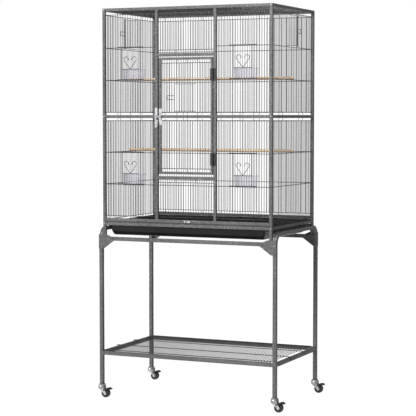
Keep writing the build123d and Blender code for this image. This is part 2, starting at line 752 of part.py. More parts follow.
def shelf_grille():
    """Lift-out grid: front-to-back wires on the bars, long wires over them with end hooks."""
    top = SHELF_Z + LEG / 2
    deck = Plane((0, 0, top + CROSS), x_dir=(1, 0, 0), z_dir=(0, 0, 1))
    half_x, half_y = LEG_X - LEG / 2 - 4, LEG_Y + 4
    rows = [half_y * step for step in (-0.93, -1 / 3, 1 / 3, 0.93)]
    with BuildPart() as grid:
        with BuildSketch(deck):
            with Locations(*[(u, 0) for u in evenly(-half_x, half_x, 12.7)]):
                Rectangle(CROSS, 2 * half_y)
        extrude(amount=-CROSS)
        with BuildSketch(deck):
            with Locations((0, rows[0]), (0, rows[-1])):
                Rectangle(2 * half_x, HOOK)
            with Locations((0, rows[1]), (0, rows[2])):
                Rectangle(2 * (LEG_OUT + HOOK), HOOK)
        extrude(amount=HOOK)
        for side in (-1, 1):
            with BuildSketch(deck.offset(HOOK)):
                with Locations(*[(side * (LEG_OUT + HOOK / 2 + 0.15), v) for v in rows[1:3]]):
                    Rectangle(HOOK - 0.3, HOOK)
            extrude(amount=-14)
    save("shelf_grille", grid.part)


def screw(place, outward, head_r=3.2, length=19.0):
    """Round-headed screw: `place` is the point where its head meets the tube."""
    with BuildPart() as body:
        with BuildSketch(Plane(place, z_dir=outward)):
            Circle(head_r)
        extrude(amount=2)
        chamfer(body.edges().sort_by(Axis(place, outward))[-1], 0.9)
        with BuildSketch(Plane(place, z_dir=outward)):
            Circle(SCREW_R)
        extrude(amount=-length)
    return body.part


def frame_screws():
    screws = []
    for sx, sy in CORNERS:
        for z in SCREW_ROWS:
            screws.append(screw((sx * POST_X, sy * CAGE_D / 2, z), (0, sy, 0)))
        for z in (CROSS_BAR_Z, SHELF_Z):
            screws.append(screw((sx * LEG_OUT, sy * LEG_Y, z), (sx, 0, 0), length=24.0))
    save("frame_screws", *screws)


# ---- Casters ------------------------------------------------------------------------
RACE_Z = LEG_FOOT - 3.3    # top of the swivelling dome
DOME_Z = 40.0
CHEEK_Y, CHEEK = 9.5, 2.0
AXLE_R = 2.5
RIVET = (12.0, 33.0)       # brake pivot, ahead of the swivel axis and above the floor
STEM_R = 4.0


def caster_stems():
    """Threaded stems with their raceway flange, pressed into the feet of the legs."""
    with BuildPart() as stems:
        for sx, sy in CORNERS:
            with BuildSketch(Plane((sx * LEG_X, sy * LEG_Y, LEG_FOOT - 3))):
                Circle(15)
            extrude(amount=3)
            with BuildSketch(Plane((sx * LEG_X, sy * LEG_Y, DOME_Z + 3))):
                Circle(STEM_R)
            extrude(amount=50)
    save("caster_stems", stems.part)


def caster_fork(name, x, y):
    """Swivel dome, two cheeks with brake rivets, and the riveted axle."""
    height = RACE_Z - DOME_Z
    with BuildPart() as dome:
        with BuildSketch(Plane((x, y, DOME_Z))):
            Circle(DOME_R)
        extrude(amount=height)
        fillet(dome.edges().group_by(Axis.Z)[-1], 5)
        with BuildSketch(Plane((x, y, DOME_Z))):
            Circle(STEM_R + 0.08)
        extrude(amount=height, mode=Mode.SUBTRACT)
    cheeks = [caster_cheek(x, y, side) for side in (-1, 1)]
    reach = CHEEK_Y + CHEEK
    with BuildPart() as axle:
        with BuildSketch(Plane((x + TRAIL, y - reach, WHEEL_R), z_dir=(0, 1, 0))):
            Circle(AXLE_R)
        extrude(amount=2 * reach)
        for side in (-1, 1):
            with BuildSketch(Plane((x + TRAIL, y + side * reach, WHEEL_R), z_dir=(0, side, 0))):
                Circle(4)
            extrude(amount=1.5)
    save(name, dome.part, *cheeks, axle.part)


def caster_cheek(x, y, side):
    """Pressed side plate from the dome down to the axle, with the rivet for the brake."""
    inner = Plane((x, y + side * CHEEK_Y, 0), x_dir=(1, 0, 0), z_dir=(0, -1, 0))
    with BuildPart() as cheek:
        with BuildSketch(inner):
            with BuildLine():
                Polyline((-12, DOME_Z), (13, DOME_Z), (TRAIL + 7, WHEEL_R), (TRAIL - 7, WHEEL_R), close=True)
            make_face()
            with Locations((TRAIL, WHEEL_R)):
                Circle(7)
            with Locations((RIVET[0], RIVET[1])):
                Circle(4)
            with Locations((TRAIL, WHEEL_R)):
                Circle(AXLE_R, mode=Mode.SUBTRACT)
        extrude(amount=-side * CHEEK)
        with BuildSketch(inner.offset(-side * CHEEK)):
            with Locations((RIVET[0], RIVET[1])):
                Circle(1.5)
        extrude(amount=-side * 3)
    return cheek.part


def caster_wheel(name, x, y):
    """Solid wheel with recessed sides around its hub."""
    with BuildPart() as wheel:
        with BuildSketch(Plane((x + TRAIL, y, WHEEL_R), x_dir=(1, 0, 0), z_dir=(0, 1, 0))):
            Circle(WHEEL_R)
        extrude(amount=WHEEL_W / 2, both=True)
        fillet(wheel.edges().filter_by(GeomType.CIRCLE), 2.5)
        for side in (-1, 1):
            face = Plane((x + TRAIL, y + side * WHEEL_W / 2, WHEEL_R), z_dir=(0, side, 0))
            with BuildSketch(face):
                Circle(14)
                Circle(6, mode=Mode.SUBTRACT)
            extrude(amount=-2.5, mode=Mode.SUBTRACT)
            with BuildSketch(face):
                Circle(6)
            extrude(amount=1)
        with BuildSketch(Plane((x + TRAIL, y - WHEEL_W, WHEEL_R), z_dir=(0, 1, 0))):
            Circle(AXLE_R + 0.08)
        extrude(amount=2 * WHEEL_W, mode=Mode.SUBTRACT)
    save(name, wheel.part)


def caster_brake(name, x, y):
    """Foot pedal over the back of the wheel, with an arm down each side to its rivet."""
    arm_in, arm = CHEEK_Y + CHEEK + 0.3, 2.0
    reach = arm_in + arm
    with BuildPart() as pedal:
        for side in (-1, 1):
            with BuildSketch(
                Plane((x, y + side * arm_in, 0), x_dir=(1, 0, 0), z_dir=(0, -1, 0))
            ):
                with BuildLine():
                    Polyline((RIVET[0], 29.5), (RIVET[0], 36.5), (25, 41.5), (31, 41.5), (28, 36), close=True)
                make_face()
                with Locations(RIVET):
                    Circle(3.5)
                    Circle(1.56, mode=Mode.SUBTRACT)
            extrude(amount=-side * arm)
        with BuildSketch(Plane((x, y - reach, 0), x_dir=(1, 0, 0), z_dir=(0, -1, 0))):
            with BuildLine():
                Polyline(
                    (25, 38.8), (25, 41.5), (33, 42.5), (PEDAL_TIP, 38.5), (PEDAL_TIP, 35.5), (34, 39.4),
                    close=True,
                )
            make_face()
        extrude(amount=-2 * reach)
    save(name, pedal.part)


def casters():
    caster_stems()
    names = {(-1, -1): "front_left", (1, -1): "front_right", (-1, 1): "back_left", (1, 1): "back_right"}
    for corner, place in names.items():
        x, y = corner[0] * LEG_X, corner[1] * LEG_Y
        caster_fork(f"{place}_fork", x, y)
        caster_wheel(f"{place}_wheel", x, y)
        caster_brake(f"{place}_brake", x, y)


def cage():
    front_frame()
    back_frame()
    side_frame("left_side_frame", -POST_X)
    side_frame("right_side_frame", POST_X)
    post_caps()
    front_section("front_left_grille", -INSIDE_X, -SECTION_INNER)
    front_section("front_right_grille", SECTION_INNER, INSIDE_X)
    centre_section()
    side_rows = (SIDE_LOWEST_ROW, *LOWER_ROWS[1:])
    rail_1_top, rail_2_top = RAIL_1_Z + TUBE / 2, RAIL_2_Z + TUBE / 2
    full_wall("back_grille", BACK, BACK_PLACES, 8, LOWER_ROWS, rail_1_top, BACK_HINGE, BACK_NEST_ROWS)
    for name, face in (("left_side_grille", LEFT), ("right_side_grille", RIGHT)):
        full_wall(name, face, SIDE_PLACES, 2, side_rows, rail_2_top, SIDE_HINGE, NEST_ROWS)
    roof_grille()
    nest_door("left_nest_door", LEFT, SIDE_PLACES, SIDE_HINGE, NEST_ROWS)
    nest_door("right_nest_door", RIGHT, SIDE_PLACES, SIDE_HINGE, NEST_ROWS)
    nest_door("back_nest_door", BACK, BACK_PLACES, BACK_HINGE, BACK_NEST_ROWS)
    for level, rows in FEEDER_ROWS.items():
        for side, sign in (("left", -1), ("right", 1)):
            middle = sign * SECTION_MIDDLE
            feeder_door(f"{level}_{side}_feeder_door", middle, rows)
            feed_cup(f"{level}_{side}_feed_cup", middle, rows[0])
    perch("upper_perch", UPPER_ROWS[1])
    perch("lower_perch", LOWER_ROWS[2])


def door():
    door_frame()
    door_grille()
    hinges()
    latch_keeper()
    latch_plate()
    latch_lever()


def base():
    base_rails()
    slide_runners()
    floor_grille()
    tray()
    tray_button()


def stand():
    leg_frame("left_leg_frame", -1)
    leg_frame("right_leg_frame", 1)
    cross_bars()
    gusset_plates()
    shelf_frame()
    shelf_grille()
    frame_screws()
    casters()


cage()
door()
base()
stand()
print("shift in X", round(SHIFT_X, 3))
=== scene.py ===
# %% [markdown]
# # Bird cage on a rolling stand
#
# A tall flight cage for small birds: square steel tube makes the corners and rails, thin
# welded wire fills the walls, and a tube stand on four casters carries it.
# The tubes, plates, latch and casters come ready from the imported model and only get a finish
# here. Everything made of wire, the moulded tray and the cups are modelled in this script.

# %% Load the frame
import json
import math

import bmesh
import bpy
from mathutils import Matrix, Vector


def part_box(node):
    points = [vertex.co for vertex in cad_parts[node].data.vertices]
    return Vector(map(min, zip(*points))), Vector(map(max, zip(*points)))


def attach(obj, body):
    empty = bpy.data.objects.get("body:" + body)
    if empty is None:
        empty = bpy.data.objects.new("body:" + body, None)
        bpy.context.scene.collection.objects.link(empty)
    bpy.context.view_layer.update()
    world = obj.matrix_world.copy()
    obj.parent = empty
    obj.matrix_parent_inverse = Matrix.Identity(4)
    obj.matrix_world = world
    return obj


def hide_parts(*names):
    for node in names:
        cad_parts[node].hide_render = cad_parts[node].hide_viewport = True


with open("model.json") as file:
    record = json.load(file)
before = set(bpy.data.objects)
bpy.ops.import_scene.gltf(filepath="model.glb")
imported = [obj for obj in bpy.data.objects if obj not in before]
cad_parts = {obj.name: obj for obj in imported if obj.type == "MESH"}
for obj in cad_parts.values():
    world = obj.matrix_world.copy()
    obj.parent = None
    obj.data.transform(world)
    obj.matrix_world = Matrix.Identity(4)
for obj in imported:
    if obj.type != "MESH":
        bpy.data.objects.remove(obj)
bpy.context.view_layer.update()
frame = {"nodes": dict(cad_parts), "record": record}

mm = 0.001
post_low, post_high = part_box("front_frame")
MIDDLE_X = (post_low.x + post_high.x) / 2
print("the cage's middle is at x =", round(MIDDLE_X, 4))

# %% [markdown]
# ## Camera
#
# The cage is seen from well to the right of its front, a little above the middle, with a long
# lens. A camera can be aimed by a constraint or by its rotation. Two angles say it plainly:
# how far it is turned to the left, and how far it looks down.

# %% Camera
bpy.ops.object.select_all(action="DESELECT")
TURN, LOOK_DOWN = 24.3, 3.53
bpy.ops.object.camera_add(
    location=(2.6065, -5.8173, 1.206),
    rotation=(math.radians(90 - LOOK_DOWN), 0, math.radians(TURN)),
)
camera = bpy.context.object
camera.name = "camera"
camera.data.lens = 128.3
camera.data.sensor_width = 36
bpy.context.scene.camera = camera
print("camera", [round(n, 3) for n in camera.location], "lens", round(camera.data.lens, 1))

# %% [markdown]
# ## Studio
#
# Thin dark wires read best against an even, nearly white room. A lit white floor would show
# the cage's long shadows, so the floor glows evenly instead, and the lamps are free to shape
# the tubes. A key lamp from the front left leaves the sides that face right darker, a small
# one near the roof picks out the top of the front, and a weak one stands behind for the back.
# No view shows the lamps, and the one behind leaves no glare on the rails.

# %% Floor and room
bpy.ops.mesh.primitive_plane_add(size=80, location=(0, 0, 0))
floor = bpy.context.object
floor.name = "floor"
pale = bpy.data.materials.new("pale_floor")
pale.use_nodes = True
floor_shader = pale.node_tree.nodes["Principled BSDF"]
floor_shader.inputs["Base Color"].default_value = (0.05, 0.05, 0.05, 1)
floor_shader.inputs["Roughness"].default_value = 1
floor_shader.inputs["Specular IOR Level"].default_value = 0
floor_shader.inputs["Emission Color"].default_value = (1, 1, 1, 1)
floor_shader.inputs["Emission Strength"].default_value = 0.97
floor.data.materials.append(pale)

room = bpy.data.worlds.new("room")
bpy.context.scene.world = room
room.use_nodes = True
room_tree = room.node_tree
room_light = room_tree.nodes["Background"]
room_light.inputs["Color"].default_value = (0.14, 0.14, 0.145, 1)
backdrop = room_tree.nodes.new("ShaderNodeBackground")
backdrop.inputs["Color"].default_value = (1, 1, 1, 1)
seen = room_tree.nodes.new("ShaderNodeLightPath")
either = room_tree.nodes.new("ShaderNodeMixShader")
room_tree.links.new(seen.outputs["Is Camera Ray"], either.inputs["Fac"])
room_tree.links.new(room_light.outputs["Background"], either.inputs[1])
room_tree.links.new(backdrop.outputs["Background"], either.inputs[2])
room_tree.links.new(either.outputs["Shader"], room_tree.nodes["World Output"].inputs["Surface"])
bpy.context.scene.view_settings.view_transform = "Standard"
print("floor", floor.name, "room", room.name)


# %% Lamps
def soft_lamp(name, place, size, power, aim):
    """A square lamp that faces a point, and that no view shows."""
    bpy.ops.object.light_add(type="AREA", location=place)
    lamp = bpy.context.object
    lamp.name = name
    lamp.rotation_euler = (Vector(aim) - lamp.location).to_track_quat("-Z", "Y").to_euler()
    lamp.data.size, lamp.data.energy = size, power
    lamp.visible_camera = False


bpy.ops.object.light_add(type="SUN", location=(-3.5, -5, 3.5))
key = bpy.context.object
key.name = "key_lamp"
key.rotation_euler = (Vector((0, 0, 0)) - key.location).to_track_quat("-Z", "Y").to_euler()
key.data.energy, key.data.angle = 6.0, math.radians(35)
soft_lamp("back_lamp", (-1.6, 5.4, 2.4), 2.6, 260, (0, 0, 0.95))
bpy.context.object.visible_glossy = False
soft_lamp("top_lamp", (0.75, -0.95, 2.3), 0.6, 22, (0.3, -0.2, 1.5))

# %% [markdown]
# ## Writing finishes
#
# A finish is a tree of shader nodes. Wiring each node by hand hides the idea behind the
# plumbing, so a small class wraps a node's output and lets sums and products be written as
# sums and products. One method makes any other node. What is the same all over a surface is
# set straight on the shader.


# %% A value that varies, and a finish
class Value:
    """One output of a node: arithmetic on it adds Math nodes."""

    def __init__(self, finish, socket):
        self.finish, self.socket = finish, socket

    def maths(self, operation, first, second):
        return self.finish.node("ShaderNodeMath", {"operation": operation}, {0: first, 1: second})

    def __add__(self, other):
        return self.maths("ADD", self, other)

    def __sub__(self, other):
        return self.maths("SUBTRACT", self, other)

    def __rsub__(self, other):
        return self.maths("SUBTRACT", other, self)

    def __mul__(self, other):
        return self.maths("MULTIPLY", self, other)

    __radd__, __rmul__ = __add__, __mul__


class Finish:
    """A material under construction, with its Principled shader."""

    def __init__(self, name, same_all_over):
        self.material = bpy.data.materials.new(name)
        self.material.use_nodes = True
        self.tree = self.material.node_tree
        self.shader = self.tree.nodes["Principled BSDF"]
        for socket, value in same_all_over.items():
            self.shader.inputs[socket].default_value = value
        self.place = self.node("ShaderNodeTexCoord", out="Object")

    def node(self, kind, settings=None, sockets=None, out=0):
        made = self.tree.nodes.new(kind)
        for key, value in (settings or {}).items():
            if key == "stops":
                stops = made.color_ramp.elements
                stops[0].position, stops[-1].position = value[0][0], value[-1][0]
                for place, _ in value[1:-1]:
                    stops.new(place)
                for stop, (_, colour) in zip(stops, value):
                    stop.color = (*colour, 1)
            else:
                setattr(made, key, value)
        for key, value in (sockets or {}).items():
            self.put(made.inputs[key], value)
        return Value(self, made.outputs[out])

    def put(self, socket, value):
        if isinstance(value, Value):
            self.tree.links.new(value.socket, socket)
        else:
            socket.default_value = value

    def noise(self, scale, detail=2.0, rough=0.5, stretch=(1, 1, 1), twist=0.0):
        spot = self.node("ShaderNodeMapping", {}, {"Vector": self.place, "Scale": stretch})
        return self.node(
            "ShaderNodeTexNoise", {},
            {
                "Vector": spot, "Scale": scale, "Detail": detail,
                "Roughness": rough, "Distortion": twist,
            },
        )

    def ramp(self, value, stops):
        return self.node("ShaderNodeValToRGB", {"stops": stops}, {"Fac": value})

    def surface(self, colour, rough, height, depth, strength=1.0):
        """Joins the colour, the roughness and a relief of the given depth to the shader."""
        relief = self.node(
            "ShaderNodeBump", {}, {"Height": height, "Distance": depth, "Strength": strength}
        )
        self.put(self.shader.inputs["Base Color"], colour)
        self.put(self.shader.inputs["Roughness"], rough)
        self.put(self.shader.inputs["Normal"], relief)
        return self.material


def grey(level, warm=0.0):
    return (level * (1 + warm), level, level * (1.02 - warm))


# %% [markdown]
# ## Hammered powder coat
#
# The tubes and wires have a grey hammered coat: dark pools with small bright flecks where
# metal flake lies on the high spots, and a faint orange-peel relief. Two noises of different
# grain, added and pushed through a ramp, give the flecks their sharp edges. The same sum
# drives the roughness and the relief, so the flecks shine as well as stand up. The wires,
# which hold more shadow, get the same coat in a darker mix. The hinges get a far darker mix,
# which is painted shade: it stands for the shadow in their gaps, not for a darker paint.


# %% Hammered coat
def hammered(name, grain, bright):
    coat = Finish(name, {"Metallic": 0.3, "Specular IOR Level": 0.45})
    flecks = coat.noise(grain, detail=3, rough=0.6, twist=0.8)
    pools = coat.noise(grain * 0.31, detail=2)
    drift = coat.noise(5, detail=1)
    speckle = flecks * 0.72 + pools * 0.28 + (drift - 0.5) * 0.10
    colour = coat.ramp(speckle, [
        (0.34, grey(0.020 * bright)), (0.47, grey(0.062 * bright)),
        (0.56, grey(0.120 * bright)), (0.68, grey(0.30 * bright)),
    ])
    return coat.surface(colour, 0.72 - speckle * 0.30, speckle, 0.35 * mm, 0.5)


frame_coat = hammered("frame_hammered_coat", 420, 0.72)
wire_coat = hammered("wire_hammered_coat", 650, 0.38)
# The hinges' mix is painted shade, much darker than their real coat, for the shadow in their
# gaps.
painted_shade_hinge_coat = hammered("hinge_painted_shade_coat", 420, 0.10)
print("coats", frame_coat.name, wire_coat.name, painted_shade_hinge_coat.name)

# %% [markdown]
# ## Zinc, plastics and wood
#
# The latch, the screws and the caster forks are bright zinc, which is never an even mirror: it
# has a soft cloud of duller patches and fine rolling marks. The tray is glossy black, with the
# slight waviness of a large moulding. The wheels are the same black but duller and scuffed.
# The cups are so clear that alpha does more for them than refraction would, with a faint
# lilac haze. The perches are plain light dowels with grain along them.

# %% Zinc
zinc = Finish("zinc_plate", {"Metallic": 0.85, "Specular IOR Level": 0.5})
cloud = zinc.noise(60, detail=3, rough=0.6)
marks = zinc.noise(300, detail=2, stretch=(1, 1, 0.15))
zinc_plate = zinc.surface(
    zinc.ramp(cloud, [
        (0.35, (0.22, 0.22, 0.23)), (0.6, (0.40, 0.40, 0.41)), (0.75, (0.56, 0.56, 0.55)),
    ]),
    0.22 + cloud * 0.22 + marks * 0.10, cloud * 0.5 + marks * 0.5, 0.12 * mm, 0.5,
)

# %% Black mouldings
gloss = Finish("tray_black_gloss", {"Specular IOR Level": 0.25})
waves = gloss.noise(14, detail=2)
peel = gloss.noise(900, detail=1)
tray_black = gloss.surface(
    gloss.ramp(waves, [(0.3, grey(0.002)), (0.7, grey(0.005))]),
    0.16 + waves * 0.12 + peel * 0.05, waves + peel * 0.04, 0.5 * mm, 0.35,
)


def scuffed_black(name, level):
    black = Finish(name, {"Specular IOR Level": 0.45})
    scuff = black.noise(180, detail=4, rough=0.7, stretch=(1, 1, 0.4))
    speck = black.noise(1400, detail=1)
    colour = black.ramp(scuff, [
        (0.45, grey(level)), (0.62, grey(level * 2)), (0.75, grey(level * 5)),
    ])
    return black.surface(colour, 0.34 + scuff * 0.3, scuff * 0.6 + speck * 0.4, 0.15 * mm, 0.5)


wheel_black = scuffed_black("wheel_black", 0.004)
cap_black = scuffed_black("cap_black", 0.020)

# %% Cup plastic
clear = Finish("cup_plastic", {"Alpha": 0.16, "IOR": 1.46})
haze = clear.noise(45, detail=3)
ripple = clear.noise(700, detail=1)
cup_plastic = clear.surface(
    clear.ramp(haze, [(0.35, (0.30, 0.29, 0.37)), (0.65, (0.40, 0.39, 0.46))]),
    0.22 + haze * 0.2, haze + ripple * 0.1, 0.2 * mm, 0.3,
)

# %% Perch wood
dowel = Finish("perch_wood", {"Specular IOR Level": 0.3})
grain = dowel.noise(70, detail=4, rough=0.65, stretch=(0.06, 1, 1), twist=0.4)
fibres = dowel.noise(900, detail=2, stretch=(0.03, 1, 1))
figure = grain * 0.7 + fibres * 0.3
perch_wood = dowel.surface(
    dowel.ramp(figure, [
        (0.34, (0.33, 0.23, 0.14)), (0.5, (0.49, 0.37, 0.25)), (0.66, (0.58, 0.48, 0.36)),
    ]),
    0.5 + figure * 0.2, figure, 0.25 * mm, 0.6,
)

# %% [markdown]
# ## Finishing the tubes and castings
#
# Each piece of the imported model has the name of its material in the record, so one table from
# that name to a finish is enough to dress all of them.

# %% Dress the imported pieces
FINISH = {
    "frame_coat": frame_coat, "wire_coat": wire_coat, "zinc": zinc_plate,
    "tray_plastic": tray_black, "wheel_plastic": wheel_black, "cap_plastic": cap_black,
    "cup_plastic": cup_plastic, "perch_wood": perch_wood,
}
for part in frame["record"]["subparts"]:
    mesh = frame["nodes"][part["node"]].data
    mesh.materials.clear()
    mesh.materials.append(FINISH[part["material_slot"]])
# The hinge leaves get the painted shade coat: a far darker mix that stands for the shadow in
# their gaps.
for node in ("hinge_post_leaves", "hinge_door_leaves"):
    frame["nodes"][node].data.materials[0] = painted_shade_hinge_coat


# %% [markdown]
# ## Tools of the bench
#
# An operator works on what is selected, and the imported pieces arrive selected, so every step
# starts from nothing. Inside edit mode, faces and edges are picked by where they are or which
# way they point.


# %% Picking and handing over
def work_on(*pieces):
    bpy.ops.object.select_all(action="DESELECT")
    for piece in pieces:
        piece.select_set(True)
    bpy.context.view_layer.objects.active = pieces[0]


def edit(piece, kind, test):
    """Enter edit mode with the faces, edges or vertices chosen that pass the test."""
    if bpy.context.mode != "EDIT_MESH":
        work_on(piece)
        bpy.ops.object.mode_set(mode="EDIT")
    bpy.ops.mesh.select_mode(type=kind)
    bpy.ops.mesh.select_all(action="DESELECT")
    mesh = bmesh.from_edit_mesh(piece.data)
    for part in {"FACE": mesh.faces, "EDGE": mesh.edges, "VERT": mesh.verts}[kind]:
        if test(part):
            part.select_set(True)
    bmesh.update_edit_mesh(piece.data)


def leave():
    bpy.ops.object.mode_set(mode="OBJECT")


def modify(piece, kind, **settings):
    """Add a modifier and apply it at once."""
    work_on(piece)
    modifier = piece.modifiers.new(kind.lower(), kind)
    for key, value in settings.items():
        setattr(modifier, key, value)
    bpy.ops.object.modifier_apply(modifier=modifier.name)


def settle(piece, turn=0.0):
    """Turn a piece about the cage's upright middle line, and leave its object at the origin."""
    piece.rotation_euler.z = math.radians(turn)
    piece.location.x = MIDDLE_X
    work_on(piece)
    bpy.ops.object.transform_apply(location=True, rotation=True, scale=True)


def hand_over(piece, slot, body, *nodes):
    """Give a finished piece its finish and the body it rides on, in place of its nodes."""
    piece.data.materials.clear()
    piece.data.materials.append(FINISH[slot])
    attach(piece, body)
    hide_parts(*nodes)
    piece.data.calc_loop_triangles()
    print(piece.name, len(piece.data.loop_triangles), "triangles")


def join(name, parts):
    work_on(*parts)
    bpy.ops.object.join()
    piece = bpy.context.object
    piece.name = piece.data.name = name
    return piece


# %% [markdown]
# ## Wire
#
# The walls are straight lengths of round wire, cropped and welded. A metre of each thickness
# is modelled once: an eight-sided rod whose cut ends are broken by a bevel. Every length in
# the cage is a copy of it with its far end drawn in or out, so the ends keep their shape.
# Lengths are written in millimetres, as on a drawing, and turned into metres as they are cut.


# %% Wire stock
def wire_stock(radius):
    bpy.ops.object.select_all(action="DESELECT")
    bpy.ops.mesh.primitive_cylinder_add(
        vertices=8, radius=radius * mm, depth=1, location=(0, 0, 0.5)
    )
    stock = bpy.context.object
    bpy.ops.object.transform_apply(location=True, rotation=True, scale=True)
    edit(stock, "EDGE", lambda edge: edge.verts[0].co.z == edge.verts[1].co.z)
    bpy.ops.mesh.bevel(offset=radius * 0.4 * mm, segments=1)
    leave()
    bpy.ops.object.shade_smooth()
    stock.name = f"stock_{radius}"
    return stock


FINE, CROSS, DOOR, HOOK = (wire_stock(radius) for radius in (1.02, 1.35, 1.24, 1.69))


def cut(stock, start, end):
    """One length of wire between two points in millimetres."""
    start, end = Vector(start) * mm, Vector(end) * mm
    run = end - start
    piece = stock.copy()
    piece.data = stock.data.copy()
    bpy.context.scene.collection.objects.link(piece)
    for vertex in piece.data.vertices:
        if vertex.co.z > 0.5:
            vertex.co.z += run.length - 1
    lean = run.to_track_quat("Z", "Y").to_matrix().to_4x4()
    piece.data.transform(Matrix.Translation(start) @ lean)
    return piece


PITCH = 11.6


def even_places(low, high, gap=PITCH):
    """Places that split a span into equal gaps, as near as possible to the wire pitch."""
    count = round((high - low) / gap)
    return [low + (high - low) * i / count for i in range(1, count)]


# %% [markdown]
# ## Wire walls
#
# Every wall is drawn as if it were the front one, which faces the viewer, and is then turned
# to its own side. Uprights are in front and cross wires behind, as they are welded. Most
# uprights stop just past the outermost cross wires. Only a few reach on to the tubes, which
# leaves the bare strips beside every rail. A window leaves room for a feeder or nest door.

# %% Rows, faces and the lengths of one wall
FRONT_FACE, SIDE_FACE = 239.1, 382.1
INSIDE_X, INSIDE_Y, OVERHANG = 375.3, 232.3, 2.0
UPRIGHT_OUT, CROSS_IN, DOOR_OUT = 0.9, 1.2, 3.3     # from the face to each wire's middle line
UPPER_ROWS = (1224.0, 1359.0, 1495.0, 1634.0)
LOWER_ROWS = (785.0, 919.0, 1054.0, 1188.0)
UPPER_REACH, LOWER_REACH = (1212.35, 1649.3), (774.7, 1199.65)


def upright_lengths(places, stubs, rows, reach, window):
    """Each upright's place with its low and high end, cut where it crosses the window."""
    for u in places:
        low, high = reach if u in stubs else (rows[0] - OVERHANG, rows[-1] + OVERHANG)
        if window and window[0] < u < window[1]:
            if window[2] > low + 2 * OVERHANG:
                yield u, low, window[2] + OVERHANG
            if window[3] < high - 2 * OVERHANG:
                yield u, window[3] - OVERHANG, high
        else:
            yield u, low, high


def wall_part(face, places, stubs, rows, reach, window=None):
    """Wires of one welded field of the wall: uprights in front, cross wires behind."""
    step = places[1] - places[0]
    left, right = places[0] - step, places[-1] + step
    wires = [
        cut(FINE, (u, -face - UPRIGHT_OUT, low), (u, -face - UPRIGHT_OUT, high))
        for u, low, high in upright_lengths(places, stubs, rows, reach, window)
    ]
    y = CROSS_IN - face
    return wires + [cut(CROSS, (left, y, v), (right, y, v)) for v in rows]


def front_wall(name, body, places, fields):
    """One front wall of two fields, each given by its rows, its reach and its window."""
    middle = len(places) // 2
    stubs = [places[middle + step] for step in (-4, 0, 4)]
    wires = []
    for rows, reach, window in fields:
        wires += wall_part(FRONT_FACE, places, stubs, rows, reach, window)
    wall = join(f"{name}_wires", wires)
    settle(wall)
    hand_over(wall, "wire_coat", body, name)


# %% Walls beside and around the door
SECTION = (139.85, INSIDE_X)
for side, name in ((-1, "front_left_grille"), (1, "front_right_grille")):
    places = sorted(side * u for u in even_places(*SECTION))
    middle = len(places) // 2
    edges = (places[middle - 4] + 1, places[middle + 4] - 1)
    front_wall(name, "cage_and_stand", places, [
        (UPPER_ROWS, UPPER_REACH, (*edges, *UPPER_ROWS[1:3])),
        (LOWER_ROWS, LOWER_REACH, (*edges, *LOWER_ROWS[1:3])),
    ])

front_wall("centre_grille", "cage_and_stand", even_places(-127.15, 127.15), [
    ((1481.7, UPPER_ROWS[3]), (1468.7, UPPER_REACH[1]), None),
    ((*LOWER_ROWS[:2], 931.3), (LOWER_REACH[0], 944.3), None),
])

# %% Wires of the door
front_wall("door_grille", "door", even_places(-112.0, 114.0), [
    ((*UPPER_ROWS[:2], 1428.0), (1211.0, 1441.0), None),
    ((989.0, *LOWER_ROWS[2:]), (976.0, 1201.0), None),
])

# %% Back and side walls
SIDE_PLACES, BACK_PLACES = even_places(-INSIDE_Y, INSIDE_Y), even_places(-INSIDE_X, INSIDE_X)
NEST_GAPS = 9
SIDE_HINGE, BACK_HINGE = len(SIDE_PLACES) // 2 - 5, len(BACK_PLACES) // 2 + 15


def full_wall(name, face, turn, places, stub_count, low_rows, low_reach, hinge, nest_rows):
    step = len(places) / stub_count
    stubs = [places[int(step * (i + 0.5))] for i in range(stub_count)]
    window = (places[hinge] + 1, places[hinge + NEST_GAPS] - 1, *nest_rows)
    wires = wall_part(face, places, stubs, UPPER_ROWS, UPPER_REACH, window)
    wires += wall_part(face, places, stubs, low_rows, low_reach)
    wall = join(f"{name}_wires", wires)
    settle(wall, turn)
    hand_over(wall, "wire_coat", "cage_and_stand", name)


full_wall(
    "back_grille", FRONT_FACE, 180, BACK_PLACES, 8, LOWER_ROWS, LOWER_REACH,
    BACK_HINGE, UPPER_ROWS[0:2],
)
for name, turn in (("left_side_grille", -90), ("right_side_grille", 90)):
    full_wall(
        name, SIDE_FACE, turn, SIDE_PLACES, 2, (768.0, *LOWER_ROWS[1:]), (756.7, LOWER_REACH[1]),
        SIDE_HINGE, UPPER_ROWS[2:4],
    )

# %% Roof
ROOF_Z = 1655.65
high, low = ROOF_Z + UPRIGHT_OUT, ROOF_Z - CROSS_IN
wires = [cut(FINE, (u, -INSIDE_Y, high), (u, INSIDE_Y, high)) for u in BACK_PLACES]
for y in (PITCH - INSIDE_Y, 0, INSIDE_Y - PITCH):
    wires.append(cut(CROSS, (-INSIDE_X, y, low), (INSIDE_X, y, low)))
wall = join("roof_grille_wires", wires)
settle(wall)
hand_over(wall, "wire_coat", "cage_and_stand", "roof_grille")

# %% [markdown]
# ## Bent wire
#
# Hooks and hearts are one wire bent along a line. A mesh tube could be swept in edit mode, but
# a curve with a round bevel is the natural way: the line carries the design, and it becomes a
# mesh only when it is finished. Corners are eased first, because wire can't turn sharply.


# %% Bending wire
def eased(points, reach):
    """The same line with each corner replaced by a short curve."""
    points = [Vector(point) for point in points]
    line = [points[0]]
    for before, corner, after in zip(points, points[1:], points[2:]):
        start = corner + (before - corner).normalized() * reach
        end = corner + (after - corner).normalized() * reach
        for t in (0, 0.25, 0.5, 0.75, 1):
            line.append(start * (1 - t) ** 2 + corner * (2 * t * (1 - t)) + end * t**2)
    return line + [points[-1]]


